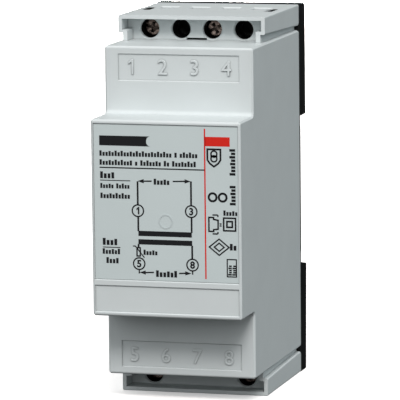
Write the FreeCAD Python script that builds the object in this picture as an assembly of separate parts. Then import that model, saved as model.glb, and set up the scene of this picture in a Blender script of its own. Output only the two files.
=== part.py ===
# Bell transformer for a 35 mm top-hat rail, two modules wide, as an assembly of its real pieces.
# Frame: the origin is the centre of the face that lies on the rail, X runs to the right seen
# from the front, Y runs from the label towards the rail, Z runs up. Lengths are millimetres.
import math
import os

import FreeCAD
import Part

# Housing, from the label outwards and backwards
housing_width = 35.0
label_block_height = 45.0
shoulder_rise = 15.5
guard_height = 6.0
label_block_depth = 11.5
shoulder_depth = 11.0
guard_depth = 31.5
cover_to_rail = 1.0
base_block_depth = 4.9

# Walls of the cover
cover_wall = 1.2
front_wall = 1.6
guard_wall = 0.9
convex_edge_radius = 0.6
concave_edge_radius = 1.0
side_edge_chamfer = 0.4
guard_edge_radius = 0.35

# Side channels between the shoulders and the terminal guards
channel_depth = 1.1
channel_height_front = 1.9
channel_height_rear = 1.0
channel_mouth_chamfer = 0.7
neck_wall = 1.1
step_wall = 0.65

# Label field and blank marking field on the front
field_rim = 0.55
field_top_rim = 1.05
blank_field_height = 5.9
field_bridge = 1.5
field_depth = 0.3
field_edge_bevel = 0.2
label_thickness = 0.15
label_edge_gap = 0.1

# Number panels on the shoulders
panel_width = 28.6
panel_height = 5.9
panel_below_deck = 1.9
panel_recess = 0.25
panel_edge_bevel = 0.15

# Terminal row
terminal_side_margin = 4.05
terminal_places = 4
hole_diameter = 4.5
hole_chamfer = 0.3
wall_behind_frame = 4.6
hole_wall = 1.0
foot_slot_width = 4.9
foot_slot_height = 0.5

# Clamping screws
screw_diameter = 3.0
screw_head_diameter = 3.9
screw_head_height = 1.8
screw_head_behind_wall = 2.0
screw_slot_width = 0.7
screw_slot_depth = 0.8
screw_head_chamfer = 0.2
screw_slot_turns = {"1": 12.0, "3": -28.0, "5": 35.0, "8": -8.0}
thread_play = 0.05

# Clamping cages
cage_room_x = 4.7
cage_room_y = 5.2
cage_side_wall = 0.7
cage_front_wall = 1.4
cage_rear_wall = 0.7
cage_end_gap = 0.35
cage_travel = 3.0
cage_to_head = 2.5
cage_bend_radius = 0.5

# Contact bars
bar_side_play = 0.35
bar_thickness = 0.8
bar_play = 0.3
bar_tail = 2.6
bar_hole_diameter = 1.6
bar_slot_play = 0.05
tip_gap = 0.05

# Terminal blocks
block_height = 12.0
block_side_gap = 0.15
block_seat_gap = 0.1
pocket_play = 0.15
slot_margin = 0.15
slot_funnel = 0.25
head_channel_play = 0.2
head_seat_gap = 0.1
shank_hole_play = 0.2
nub_below_roof = 0.05
nub_ramp = 1.3
block_relief_depth = 4.25
window_width = 2.0
window_length = 6.5
window_from_side = 1.75
window_behind_wall = 7.5
nub_play = 0.15

# Rear base
base_plate = 2.0
spigot_length = 1.5
spigot_wall = 1.2
spigot_gap = 0.15
rail_width = 35.0
rail_play = 0.1
seat_relief = 0.3
seat_margin = 0.9
lower_block_slope = 1.0
lower_block_taper = 0.9
base_top_radius = 1.2
base_pocket_rim = 2.2
base_pocket_floor = 1.4
base_rib = 1.6
hook_width = 8.5
hook_reach = 1.6
hook_front_gap = 1.3
hook_spacing = 17.0
core_post_width = 16.0
core_post_thickness = 2.0
core_post_spacing = 28.0
rib_thickness = 1.6
rib_height = 1.7
seat_gap = 0.1

# Rail latch and its spring
latch_width = 13.6
latch_thickness = 2.6
latch_guide_width = 1.5
latch_guide_thickness = 1.2
latch_play = 0.15
latch_travel = 3.0
latch_nose_reach = 1.5
latch_nose_gap = 1.3
latch_tail_gap = 0.2
latch_floor_gap = 0.8
latch_slot_width = 6.0
latch_slot_height = 1.4
latch_slot_depth = 1.2
latch_grip_from_end = 2.2
spring_wire = 0.4
spring_mean_diameter = 2.0
spring_turns = 5
spring_turn_points = 12
spring_length = 6.4
spring_end_gap = 0.1
lug_height = 1.4
lug_width = 3.4
lug_above_tail = 7.8

# Iron core of E and I plates, standing on edge
core_end_gap = 1.3
coil_beside_core = 6.95
centre_leg = 16.0
outer_leg = 8.0
yoke = 8.0

# Two-chamber bobbin and its windings
leg_play = 0.2
bobbin_wall = 0.9
flange_thickness = 1.0
flange_play = 0.2
flange_corner = 1.2
coil_side_gap = 0.35
winding_below_flange = 0.8
winding_corner_radius = 1.8
tape_thickness = 0.2

# Thermistor in the primary circuit, and the insulated leads
thermistor_diameter = 9.0
thermistor_thickness = 3.5
thermistor_edge = 0.6
thermistor_leg = 0.6
thermistor_leg_sides = 12
thermistor_leg_spacing = 2.6
thermistor_beside_terminal = 7.25
thermistor_ahead = 6.0
lead_diameter = 1.2
lead_bend_radius = 1.5
lead_from_coil_side = 4.7
lead_rise_ahead = 4.0
lead_over_core = 1.6

# How far cutting tools reach past the faces that they cut
overshoot = 1.0

# Stations along the depth
cover_rear = -cover_to_rail
guard_front = cover_rear - guard_depth
shoulder_front = guard_front - shoulder_depth
label_front = shoulder_front - label_block_depth
hole_wall_front = guard_front + wall_behind_frame
hole_wall_rear = hole_wall_front + hole_wall
plate_front = -base_plate
spigot_front = plate_front - spigot_length
cavity_front = label_front + front_wall

# Heights and half widths
half_width = housing_width / 2
label_top = label_block_height / 2
deck = label_top + shoulder_rise
guard_top = deck + guard_height
cavity_half_width = half_width - cover_wall
cavity_top = deck - cover_wall
neck_half_width = half_width - channel_depth
neck_inner = neck_half_width - neck_wall
guard_inner = half_width - guard_wall
guard_ceiling = guard_top - guard_wall
step_level = deck + channel_height_front + step_wall
screw_axis = (deck + guard_ceiling) / 2

# Chain of the clamp, from the wall with the holes backwards
head_front = hole_wall_rear + screw_head_behind_wall
head_rear = head_front + screw_head_height
cage_front = head_rear + cage_to_head + cage_travel
bar_front = cage_front + cage_front_wall + bar_play
bar_rear = bar_front + bar_thickness
bar_width = cage_room_x - 2 * bar_side_play
cage_inner_rear = bar_rear + cage_room_y
cage_rear = cage_inner_rear + cage_rear_wall
label_field_top = label_top - field_top_rim
blank_field_bottom = -label_top + field_top_rim
blank_field_top = blank_field_bottom + blank_field_height
label_field_bottom = blank_field_top + field_bridge
cage_bottom = deck + cage_end_gap
cage_top = guard_ceiling - cage_end_gap
cage_half_width = cage_room_x / 2 + cage_side_wall
slot_half_width = cage_room_x / 2 - slot_margin

# Terminal block
block_front = hole_wall_rear + block_seat_gap
block_rear = spigot_front - block_seat_gap
block_top = guard_ceiling - block_seat_gap
block_bottom = block_top - block_height
block_half_width = neck_inner - block_side_gap
block_wing_half_width = guard_inner - block_side_gap
block_wing_level = step_level + block_side_gap
pocket_floor = cage_bottom - pocket_play
bar_end = block_bottom - bar_tail
bar_hole_level = block_bottom - bar_tail / 2

# Core and coil
core_front = cavity_front + rib_height + seat_gap
core_rear = spigot_front - seat_gap
core_centre = (core_front + core_rear) / 2
core_half_height = label_top - cover_wall - core_end_gap
window_half_height = core_half_height - yoke
window_depth = (core_rear - core_front - centre_leg) / 2 - outer_leg
coil_half_width = cavity_half_width - coil_side_gap
core_half_stack = coil_half_width - coil_beside_core
coil_half_depth = centre_leg / 2 + window_depth - flange_play
tube_half_width = core_half_stack + leg_play + bobbin_wall
tube_half_depth = centre_leg / 2 + leg_play + bobbin_wall
flange_top = window_half_height - flange_play
chamber_top = flange_top - flange_thickness
lead_offset = coil_half_width - lead_from_coil_side

# Rail latch
rail_top = rail_width / 2
seat_half_height = rail_top - hook_reach - seat_margin
lower_block_top = -rail_width / 2 - rail_play
latch_front = latch_floor_gap + latch_play
latch_rear = latch_front + latch_thickness
latch_bottom = -guard_top + latch_tail_gap
latch_top = lower_block_top - lower_block_slope
lug_bottom = latch_bottom + lug_above_tail
spring_seat = lug_bottom + lug_height
spring_ceiling = spring_seat + spring_length

# The places of the four terminals, from left to right, and those that hold a clamp
terminal_pitch = 2 * (neck_inner - terminal_side_margin) / (terminal_places - 1)
terminal_x = [(place - (terminal_places - 1) / 2) * terminal_pitch for place in range(terminal_places)]
upper_clamps = {"1": terminal_x[0], "3": terminal_x[2]}
lower_clamps = {"5": terminal_x[0], "8": terminal_x[-1]}


def block_between(x0, x1, y0, y1, z0, z1):
    """Rectangular solid between two corners."""
    return Part.makeBox(x1 - x0, y1 - y0, z1 - z0, FreeCAD.Vector(x0, y0, z0))


def block_across(half, y0, y1, z0, z1):
    """Rectangular solid that spans the width evenly about the middle plane."""
    return block_between(-half, half, y0, y1, z0, z1)


def prism_across(outline, half):
    """Solid with a closed (Y, Z) outline that spans the width evenly."""
    points = [FreeCAD.Vector(-half, y, z) for y, z in outline]
    face = Part.Face(Part.makePolygon(points + points[:1]))
    return face.extrude(FreeCAD.Vector(2 * half, 0, 0))


def prism_deep(outline, y0, y1):
    """Solid with a closed (X, Z) outline between two depths."""
    points = [FreeCAD.Vector(x, y0, z) for x, z in outline]
    face = Part.Face(Part.makePolygon(points + points[:1]))
    return face.extrude(FreeCAD.Vector(0, y1 - y0, 0))


def rod_deep(x, y0, y1, z, radius):
    """Round bar along the depth."""
    return Part.makeCylinder(radius, y1 - y0, FreeCAD.Vector(x, y0, z), FreeCAD.Vector(0, 1, 0))


def cone_deep(x, y0, y1, z, radius0, radius1):
    """Cone along the depth, with a radius at each end."""
    return Part.makeCone(radius0, radius1, y1 - y0, FreeCAD.Vector(x, y0, z), FreeCAD.Vector(0, 1, 0))


def both_ends(shape):
    """The shape and its mirror image below the rail axis."""
    return [shape, upside_down(shape)]


def upside_down(shape):
    """Mirror image in the plane of the rail axis."""
    return shape.mirror(FreeCAD.Vector(0, 0, 0), FreeCAD.Vector(0, 0, 1))


def both_sides(shape):
    """The shape and its mirror image left of the middle plane."""
    return [shape, shape.mirror(FreeCAD.Vector(0, 0, 0), FreeCAD.Vector(1, 0, 0))]


def edges_where(shape, test):
    """Edges whose end points all pass a test."""
    return [edge for edge in shape.Edges if all(test(vertex.Point) for vertex in edge.Vertexes)]


def near(a, b):
    """Whether two coordinates are the same."""
    return abs(a - b) < 1e-4


def edges_across_at(shape, corners):
    """Edges along the width whose (Y, Z) place is one of the corners."""
    return [
        edge
        for y, z in corners
        for edge in edges_where(shape, lambda p: near(p.y, y) and near(p.z, z))
    ]


# Cover


def stepped_body():
    """Label block and shoulders as one stepped bar with rounded edges."""
    outline = [
        (cover_rear, -deck),
        (shoulder_front, -deck),
        (shoulder_front, -label_top),
        (label_front, -label_top),
        (label_front, label_top),
        (shoulder_front, label_top),
        (shoulder_front, deck),
        (cover_rear, deck),
    ]
    body = prism_across(outline, half_width)
    inner_corners = [(shoulder_front, -label_top), (shoulder_front, label_top)]
    body = body.makeFillet(concave_edge_radius, edges_across_at(body, inner_corners))
    outer_corners = [(y, z) for y, z in outline[1:-1] if (y, z) not in inner_corners]
    body = body.makeFillet(convex_edge_radius, edges_across_at(body, outer_corners))
    for side in (-half_width, half_width):
        rim = edges_where(body, lambda p: near(p.x, side))
        rim = [edge for edge in rim if not all(near(v.Point.y, cover_rear) for v in edge.Vertexes)]
        body = body.makeChamfer(side_edge_chamfer, rim)
    return body


def guard_outside():
    """Outer form of the upper terminal guard: a wide hood on a narrower neck."""
    outline = [
        (guard_front, deck + channel_height_front),
        (cover_rear, deck + channel_height_rear),
        (cover_rear, guard_top),
        (guard_front, guard_top),
    ]
    hood = prism_across(outline, half_width)
    long_edges = edges_where(hood, lambda p: near(abs(p.x), half_width))
    long_edges = [e for e in long_edges if not near(e.Vertexes[0].Point.y, e.Vertexes[1].Point.y)]
    hood = hood.makeFillet(guard_edge_radius, long_edges)
    neck = block_across(neck_half_width, guard_front, cover_rear, cavity_top, guard_ceiling)
    return hood.fuse(neck)


def channel_mouths():
    """Bevels at the rear ends of the side channels."""
    bevel = channel_mouth_chamfer
    outline = [
        (cover_rear, deck - bevel),
        (cover_rear, deck + channel_height_rear + bevel),
        (cover_rear - bevel, deck + channel_height_rear),
        (cover_rear - bevel, deck),
    ]
    points = [FreeCAD.Vector(neck_half_width, y, z) for y, z in outline]
    face = Part.Face(Part.makePolygon(points + points[:1]))
    return both_sides(face.extrude(FreeCAD.Vector(channel_depth + overshoot, 0, 0)))


def guard_inside(y0, y1, floor):
    """Room inside the guard, narrower below the step of its side walls."""
    half = [
        (neck_inner, floor),
        (neck_inner, step_level),
        (guard_inner, step_level),
        (guard_inner, guard_ceiling),
    ]
    mirrored = [(-x, z) for x, z in reversed(half)]
    return prism_deep(half + mirrored, y0, y1)


def screw_hole(x):
    """Round hole for a screwdriver, with a chamfered mouth."""
    radius = hole_diameter / 2
    hole = rod_deep(x, hole_wall_front - overshoot, hole_wall_rear + overshoot, screw_axis, radius)
    mouth = cone_deep(
        x, hole_wall_front, hole_wall_front + hole_chamfer, screw_axis, radius + hole_chamfer, radius
    )
    return hole.fuse(mouth)


def rectangle_at(half_x, y0, y1, x, z):
    """Closed rectangular wire at one level."""
    corners = [(x - half_x, y0), (x + half_x, y0), (x + half_x, y1), (x - half_x, y1)]
    points = [FreeCAD.Vector(px, py, z) for px, py in corners]
    return Part.makePolygon(points + points[:1])


def wire_slot(x):
    """Wire entry through the roof of the guard, with a funnel at the top."""
    half = slot_half_width
    throat = block_between(
        x - half, x + half, wire_front, wire_rear, guard_ceiling - overshoot, guard_top
    )
    lower = rectangle_at(slot_half_width, wire_front, wire_rear, x, guard_top - slot_funnel)
    upper = rectangle_at(
        slot_half_width + slot_funnel, wire_front - slot_funnel, wire_rear + slot_funnel, x, guard_top
    )
    return throat.fuse(Part.makeLoft([lower, upper], True, True))


wire_front = bar_rear + slot_margin / 2
wire_rear = cage_inner_rear - slot_margin / 2
window_front = hole_wall_rear + window_behind_wall
window_outer = half_width - window_from_side


def latch_window():
    """Small window in the roof that a nub of the terminal block snaps into."""
    return block_between(
        window_outer - window_width,
        window_outer,
        window_front,
        window_front + window_length,
        guard_ceiling - overshoot,
        guard_top + overshoot,
    )


def guard_cuts(holes):
    """Everything that is cut out of one guard; holes lists the places of its terminals."""
    foot_half = foot_slot_width / 2
    foot_top = deck + foot_slot_height
    cuts = [
        guard_inside(guard_front - overshoot, hole_wall_front, deck),
        guard_inside(hole_wall_rear, cover_rear + overshoot, cavity_top - overshoot),
        block_across(foot_half, hole_wall_front - overshoot / 2, hole_wall_rear, deck, foot_top),
    ]
    cuts += [screw_hole(x) for x in holes]
    cuts += [wire_slot(x) for x in holes]
    cuts += both_sides(latch_window())
    cuts += channel_mouths()
    return cuts


def bevelled_recess(half, face, depth, low, high, bevel):
    """Flat recess in a front face, with bevels along its upper and lower edge."""
    outline = [
        (face + depth, low),
        (face + depth, high),
        (face + bevel, high),
        (face, high + bevel),
        (face - overshoot, high + bevel),
        (face - overshoot, low - bevel),
        (face, low - bevel),
        (face + bevel, low),
    ]
    return prism_across(outline, half)


def front_fields():
    """Recesses of the front: the label field above the blank marking field."""
    half = half_width - field_rim
    levels = [(label_field_bottom, label_field_top), (blank_field_bottom, blank_field_top)]
    return [
        bevelled_recess(half, label_front, field_depth, low, high, field_edge_bevel)
        for low, high in levels
    ]


def number_panel():
    """Shallow recess for the terminal numbers on the upper shoulder."""
    top = deck - panel_below_deck
    half = panel_width / 2
    low = top - panel_height
    return bevelled_recess(half, shoulder_front, panel_recess, low, top, panel_edge_bevel)


def inner_room():
    """Hollow of the label block and the shoulders, open at the back."""
    outline = [
        (cover_rear + overshoot, -cavity_top),
        (shoulder_front + cover_wall, -cavity_top),
        (shoulder_front + cover_wall, -label_top + cover_wall),
        (cavity_front, -label_top + cover_wall),
        (cavity_front, label_top - cover_wall),
        (shoulder_front + cover_wall, label_top - cover_wall),
        (shoulder_front + cover_wall, cavity_top),
        (cover_rear + overshoot, cavity_top),
    ]
    return prism_across(outline, cavity_half_width)


def core_ribs():
    """Two ribs behind the front wall that the core bears on."""
    return both_ends(
        block_across(
            core_post_width / 2,
            cavity_front,
            cavity_front + rib_height,
            core_post_spacing / 2 - rib_thickness / 2,
            core_post_spacing / 2 + rib_thickness / 2,
        )
    )


def make_housing_cover():
    """Grey cover: one moulding of label block, shoulders and both terminal guards."""
    cover = stepped_body().fuse(both_ends(guard_outside()))
    cuts = guard_cuts(terminal_x)
    cuts += [upside_down(cut) for cut in guard_cuts(list(lower_clamps.values()))]
    cuts += front_fields() + both_ends(number_panel())
    cover = cover.cut([inner_room()] + cuts)
    return cover.fuse(core_ribs()).removeSplitter()


def make_front_label():
    """Thin printed foil in the label field."""
    half = half_width - field_rim - label_edge_gap
    top = label_field_top - label_edge_gap
    bottom = label_field_bottom + label_edge_gap
    floor = label_front + field_depth
    return block_across(half, floor - label_thickness, floor, bottom, top)


# Clamps


def make_screw(x, slot_turn):
    """Clamping screw; its cross-slotted head is turned as it was left, its tip meets the bar."""
    radius = screw_diameter / 2
    tip = bar_front - tip_gap
    head = rod_deep(x, head_front, head_rear, screw_axis, screw_head_diameter / 2)
    head = head.makeChamfer(screw_head_chamfer, edges_where(head, lambda p: near(p.y, head_front)))
    shank = rod_deep(x, head_rear, tip, screw_axis, radius)
    slot = block_between(
        x - screw_head_diameter,
        x + screw_head_diameter,
        head_front - overshoot,
        head_front + screw_slot_depth,
        screw_axis - screw_slot_width / 2,
        screw_axis + screw_slot_width / 2,
    )
    short_arm = screw_head_diameter / 3
    cross = block_between(
        x - screw_slot_width / 2,
        x + screw_slot_width / 2,
        head_front - overshoot,
        head_front + screw_slot_depth,
        screw_axis - short_arm,
        screw_axis + short_arm,
    )
    recess = slot.fuse(cross)
    recess.rotate(FreeCAD.Vector(x, 0, screw_axis), FreeCAD.Vector(0, 1, 0), slot_turn)
    return head.fuse(shank).cut(recess)


def make_cage(x):
    """Clamping cage: a folded steel loop around the bar, threaded at the front."""
    outside = block_between(
        x - cage_half_width, x + cage_half_width, cage_front, cage_rear, cage_bottom, cage_top
    )
    upright = edges_where(outside, lambda p: True)
    upright = [e for e in upright if near(e.Vertexes[0].Point.x, e.Vertexes[1].Point.x)]
    upright = [e for e in upright if near(e.Vertexes[0].Point.y, e.Vertexes[1].Point.y)]
    outside = outside.makeFillet(cage_bend_radius, upright)
    room = block_between(
        x - cage_room_x / 2,
        x + cage_room_x / 2,
        cage_front + cage_front_wall,
        cage_inner_rear,
        cage_bottom - overshoot,
        cage_top + overshoot,
    )
    inner_front = cage_front + cage_front_wall
    radius = screw_diameter / 2 + thread_play
    thread = rod_deep(x, cage_front - overshoot, inner_front + bar_play / 2, screw_axis, radius)
    return outside.cut([room, thread])


def make_bar(x):
    """Contact bar that stands in the cage and ends in a solder tail below the block."""
    bar = block_between(
        x - bar_width / 2, x + bar_width / 2, bar_front, bar_rear, bar_end, cage_top
    )
    corners = [e for e in bar.Edges if near(e.Length, bar_thickness)]
    bar = bar.makeChamfer(bar_thickness / 2, corners)
    radius = bar_hole_diameter / 2
    hole = rod_deep(x, bar_front - overshoot, bar_rear + overshoot, bar_hole_level, radius)
    return bar.cut(hole)


def clamp_pocket(x):
    """Room in the terminal block for a cage over its whole travel, with the screw's channel."""
    half = cage_half_width + pocket_play
    pocket = block_between(
        x - half,
        x + half,
        cage_front - cage_travel - pocket_play,
        cage_rear + pocket_play,
        pocket_floor,
        block_top + overshoot,
    )
    seat = head_rear + head_seat_gap
    head_radius = screw_head_diameter / 2 + head_channel_play
    channel = rod_deep(x, block_front - overshoot, seat, screw_axis, head_radius)
    shank_radius = screw_diameter / 2 + shank_hole_play
    shank_hole = rod_deep(x, seat, cage_front - cage_travel, screw_axis, shank_radius)
    return pocket.fuse([channel, shank_hole])


def bar_slot(x):
    """Slot in the floor of a pocket that holds a contact bar."""
    half = bar_width / 2 + bar_slot_play
    return block_between(
        x - half,
        x + half,
        bar_front - bar_slot_play,
        bar_rear + bar_slot_play,
        block_bottom - overshoot,
        pocket_floor + overshoot,
    )


def block_nub():
    """Catch on top of the block, ramped at the front, that snaps into a window of the cover."""
    front, rear = window_front + nub_play, window_front + window_length - nub_play
    top = guard_top - nub_below_roof
    outline = [
        (front, block_top - overshoot),
        (rear, block_top - overshoot),
        (rear, top),
        (front + nub_ramp, top),
        (front, block_top),
    ]
    wedge = prism_across(outline, window_width / 2 - nub_play)
    wedge.translate(FreeCAD.Vector(window_outer - window_width / 2, 0, 0))
    return wedge


def make_terminal_block(pockets, clamps):
    """Black block behind the holes, with a pocket for each terminal and slots for its bars."""
    body = block_across(block_half_width, block_front, block_rear, block_bottom, block_top)
    wings = block_across(block_wing_half_width, block_front, block_rear, block_wing_level, block_top)
    relief = block_across(
        block_half_width - spigot_wall,
        block_rear - block_relief_depth,
        block_rear + overshoot,
        block_bottom + spigot_wall,
        block_top - spigot_wall,
    )
    cuts = [relief] + [clamp_pocket(x) for x in pockets] + [bar_slot(x) for x in clamps]
    return body.fuse([wings] + both_sides(block_nub())).cut(cuts).removeSplitter()


# Rear base


def base_outline():
    """Side outline of the base: two blocks with the rail groove between them."""
    return [
        (cover_rear, -guard_top),
        (base_block_depth - lower_block_taper, -guard_top),
        (base_block_depth, lower_block_top - lower_block_slope),
        (-seat_relief, lower_block_top),
        (-seat_relief, -seat_half_height),
        (0, -seat_half_height),
        (0, seat_half_height),
        (-seat_relief, seat_half_height),
        (-seat_relief, rail_top),
        (base_block_depth, rail_top),
        (base_block_depth, guard_top),
        (cover_rear, guard_top),
    ]


def base_pockets():
    """Hollows in the back of the upper block, parted by a rib."""
    inner = base_rib / 2
    outer = half_width - base_pocket_rim
    return both_sides(
        block_between(
            inner,
            outer,
            base_pocket_floor,
            base_block_depth + overshoot,
            rail_top + base_pocket_rim,
            guard_top - base_pocket_rim,
        )
    )


def rail_hook(x):
    """Fixed hook that reaches down behind the upper flange of the rail."""
    outline = [
        (hook_front_gap, rail_top + overshoot),
        (hook_front_gap, rail_top - hook_reach),
        (base_block_depth - hook_reach, rail_top - hook_reach),
        (base_block_depth, rail_top),
        (base_block_depth, rail_top + overshoot),
    ]
    hook = prism_across(outline, hook_width / 2)
    hook.translate(FreeCAD.Vector(x, 0, 0))
    return hook


def latch_room():
    """Channel of the latch in the lower block, wider at its floor where the guides run."""
    below = -guard_top - overshoot
    above = lower_block_top + overshoot
    narrow = latch_width / 2 + latch_play
    deep = block_across(narrow, latch_floor_gap, base_block_depth + overshoot, below, above)
    wide = block_across(
        narrow + latch_guide_width,
        latch_floor_gap,
        latch_front + latch_guide_thickness + latch_play,
        below,
        above,
    )
    return [deep, wide]


def spring_lug():
    """Lug in the latch channel that carries the spring and stops the latch."""
    return block_across(
        lug_width / 2, latch_floor_gap - overshoot / 2, latch_rear, lug_bottom, spring_seat
    )


def make_rear_base():
    """Black base that closes the cover and sits on the rail."""
    base = prism_across(base_outline(), half_width)
    base = base.makeFillet(base_top_radius, edges_across_at(base, [(base_block_depth, guard_top)]))
    half_x = cavity_half_width - spigot_gap
    half_z = cavity_top - spigot_gap
    plate = block_across(half_x, plate_front, cover_rear + overshoot / 2, -half_z, half_z)
    spigot = block_across(half_x, spigot_front, plate_front, -half_z, half_z)
    inside = block_across(
        half_x - spigot_wall,
        spigot_front - overshoot,
        plate_front,
        -half_z + spigot_wall,
        half_z - spigot_wall,
    )
    posts = both_ends(
        block_across(
            core_post_width / 2,
            spigot_front,
            plate_front,
            core_post_spacing / 2 - core_post_thickness / 2,
            core_post_spacing / 2 + core_post_thickness / 2,
        )
    )
    hooks = [rail_hook(x) for x in (-hook_spacing / 2, hook_spacing / 2)]
    base = base.fuse([plate, spigot.cut(inside)] + posts + hooks)
    return base.cut(base_pockets() + latch_room()).fuse(spring_lug()).removeSplitter()


# Latch and spring


def make_rail_latch():
    """Sliding latch whose nose hooks under the lower flange of the rail."""
    blade = block_across(latch_width / 2, latch_front, latch_rear, latch_bottom, latch_top)
    guides = block_across(
        latch_width / 2 + latch_guide_width,
        latch_front,
        latch_front + latch_guide_thickness,
        latch_bottom + latch_travel,
        latch_top - latch_guide_width,
    )
    nose_top = -rail_top + latch_nose_reach
    nose = prism_across(
        [
            (latch_nose_gap, latch_top - overshoot),
            (latch_rear, latch_top - overshoot),
            (latch_rear, nose_top - latch_nose_reach),
            (latch_nose_gap + (latch_rear - latch_nose_gap) / 3, nose_top),
            (latch_nose_gap, nose_top),
        ],
        latch_width / 2,
    )
    window = block_across(
        lug_width / 2 + latch_play,
        latch_front - overshoot,
        latch_rear + overshoot,
        lug_bottom - spring_end_gap,
        spring_ceiling + spring_end_gap,
    )
    grip = block_across(
        latch_slot_width / 2,
        latch_rear - latch_slot_depth,
        latch_rear + overshoot,
        latch_bottom + latch_grip_from_end,
        latch_bottom + latch_grip_from_end + latch_slot_height,
    )
    return blade.fuse([guides, nose]).cut([window, grip]).removeSplitter()


def make_latch_spring():
    """Small compression spring between the lug of the base and the latch."""
    radius = spring_mean_diameter / 2
    rise = spring_length - spring_wire - 2 * spring_end_gap
    low = spring_seat + spring_end_gap + spring_wire / 2
    count = spring_turns * spring_turn_points
    centre = (latch_front + latch_rear) / 2
    points = []
    for i in range(count + 1):
        angle = 2 * math.pi * i / spring_turn_points
        place = (radius * math.cos(angle), centre + radius * math.sin(angle), low + rise * i / count)
        points.append(FreeCAD.Vector(*place))
    return wire_along(points, spring_wire, 6)


def regular_outline(centre, normal, radius, sides):
    """Closed regular outline square to a direction."""
    turn = FreeCAD.Rotation(FreeCAD.Vector(0, 0, 1), normal)
    points = []
    for i in range(sides):
        angle = 2 * math.pi * i / sides
        offset = FreeCAD.Vector(radius * math.cos(angle), radius * math.sin(angle), 0)
        points.append(centre + turn.multVec(offset))
    return Part.makePolygon(points + points[:1])


def wire_along(points, diameter, sides):
    """Thin wire with a many-sided section along a chain of points."""
    section = regular_outline(points[0], points[1] - points[0], diameter / 2, sides)
    return Part.makePolygon(points).makePipeShell([section], True, False, 1)


# Core and coil


def make_core_e():
    """Stack of E plates: a back at the bottom and three legs that stand up."""
    front, rear = core_front, core_rear
    low, top = -core_half_height, window_half_height
    leg = centre_leg / 2
    outline = [
        (front, low),
        (rear, low),
        (rear, top),
        (rear - outer_leg, top),
        (rear - outer_leg, low + yoke),
        (core_centre + leg, low + yoke),
        (core_centre + leg, top),
        (core_centre - leg, top),
        (core_centre - leg, low + yoke),
        (front + outer_leg, low + yoke),
        (front + outer_leg, top),
        (front, top),
    ]
    return prism_across(outline, core_half_stack)


def make_core_i():
    """Stack of I plates that closes the legs of the E plates at the top."""
    return block_across(core_half_stack, core_front, core_rear, window_half_height, core_half_height)


def coil_ring(half_x, half_y, inner_x, inner_y, z0, z1, radius):
    """Rectangular ring around the centre leg, with rounded outer corners."""
    outside = block_between(-half_x, half_x, core_centre - half_y, core_centre + half_y, z0, z1)
    upright = [e for e in outside.Edges if near(e.Length, z1 - z0)]
    if radius > 0:
        outside = outside.makeFillet(radius, upright)
    inside = block_between(
        -inner_x, inner_x, core_centre - inner_y, core_centre + inner_y, z0 - overshoot, z1 + overshoot
    )
    return outside.cut(inside)


def make_bobbin():
    """Two-chamber bobbin: a square tube with three flanges."""
    leg_x = core_half_stack + leg_play
    leg_y = centre_leg / 2 + leg_play
    tube = coil_ring(tube_half_width, tube_half_depth, leg_x, leg_y, -flange_top, flange_top, 0)
    levels = [-flange_top, -flange_thickness / 2, chamber_top]
    flanges = [make_flange(leg_x, leg_y, z) for z in levels]
    return tube.fuse(flanges).removeSplitter()


def make_flange(leg_x, leg_y, z):
    """One flange of the bobbin, with bevelled corners."""
    top = z + flange_thickness
    flange = coil_ring(coil_half_width, coil_half_depth, leg_x, leg_y, z, top, 0)
    corners = edges_where(flange, lambda p: near(abs(p.x), coil_half_width))
    corners = [e for e in corners if near(e.Length, flange_thickness)]
    return flange.makeChamfer(flange_corner, corners)


def winding_half_sizes():
    """Half width and half depth of a winding under its tape."""
    cover = winding_below_flange + tape_thickness
    return coil_half_width - cover, coil_half_depth - cover


def make_winding():
    """Winding that fills the upper chamber of the bobbin up to its tape."""
    half_x, half_y = winding_half_sizes()
    low = flange_thickness / 2
    return coil_ring(
        half_x, half_y, tube_half_width, tube_half_depth, low, chamber_top, winding_corner_radius
    )


def make_tape():
    """Insulating tape around the upper winding."""
    half_x, half_y = winding_half_sizes()
    outside = coil_ring(
        half_x + tape_thickness,
        half_y + tape_thickness,
        tube_half_width,
        tube_half_depth,
        flange_thickness / 2,
        chamber_top,
        winding_corner_radius + tape_thickness,
    )
    return outside.cut(filled_winding(half_x, half_y))


def filled_winding(half_x, half_y):
    """Outer form of the winding with no hole in it."""
    low, high = flange_thickness / 2, chamber_top
    body = block_between(-half_x, half_x, core_centre - half_y, core_centre + half_y, low, high)
    upright = [e for e in body.Edges if near(e.Length, high - low)]
    return body.makeFillet(winding_corner_radius, upright)


# Leads and thermistor


def straight_lead(start, end, diameter):
    """Round wire between two points."""
    run = end - start
    return Part.makeCylinder(diameter / 2, run.Length, start, run)


def bent_lead(start, corner, end, diameter, radius):
    """Round wire with one bend of the given radius at its corner."""
    inward = (corner - start).normalize()
    outward = (end - corner).normalize()
    turn = inward.getAngle(outward)
    reach = radius * math.tan(turn / 2)
    first = corner - inward * reach
    last = corner + outward * reach
    axis = inward.cross(outward).normalize()
    centre = first + axis.cross(inward) * radius
    disc = Part.Face(Part.Wire(Part.makeCircle(diameter / 2, first, inward)))
    bend = disc.revolve(centre, axis, math.degrees(turn))
    lower = straight_lead(start, first, diameter)
    upper = straight_lead(last, end, diameter)
    return lower.fuse([bend, upper]).removeSplitter()


def lead_start(x):
    """Place where a lead leaves the top flange of the bobbin."""
    return FreeCAD.Vector(x, core_centre, flange_top)


def lead_end(x):
    """Place where a lead is soldered to the tail of a contact bar."""
    return FreeCAD.Vector(x, bar_front, bar_hole_level)


def make_side_lead(x):
    """Upper lead that runs beside the core, straight to its bar."""
    lead = straight_lead(lead_start(x), lead_end(x), lead_diameter)
    return lead.cut(past_bar(x))


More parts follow.
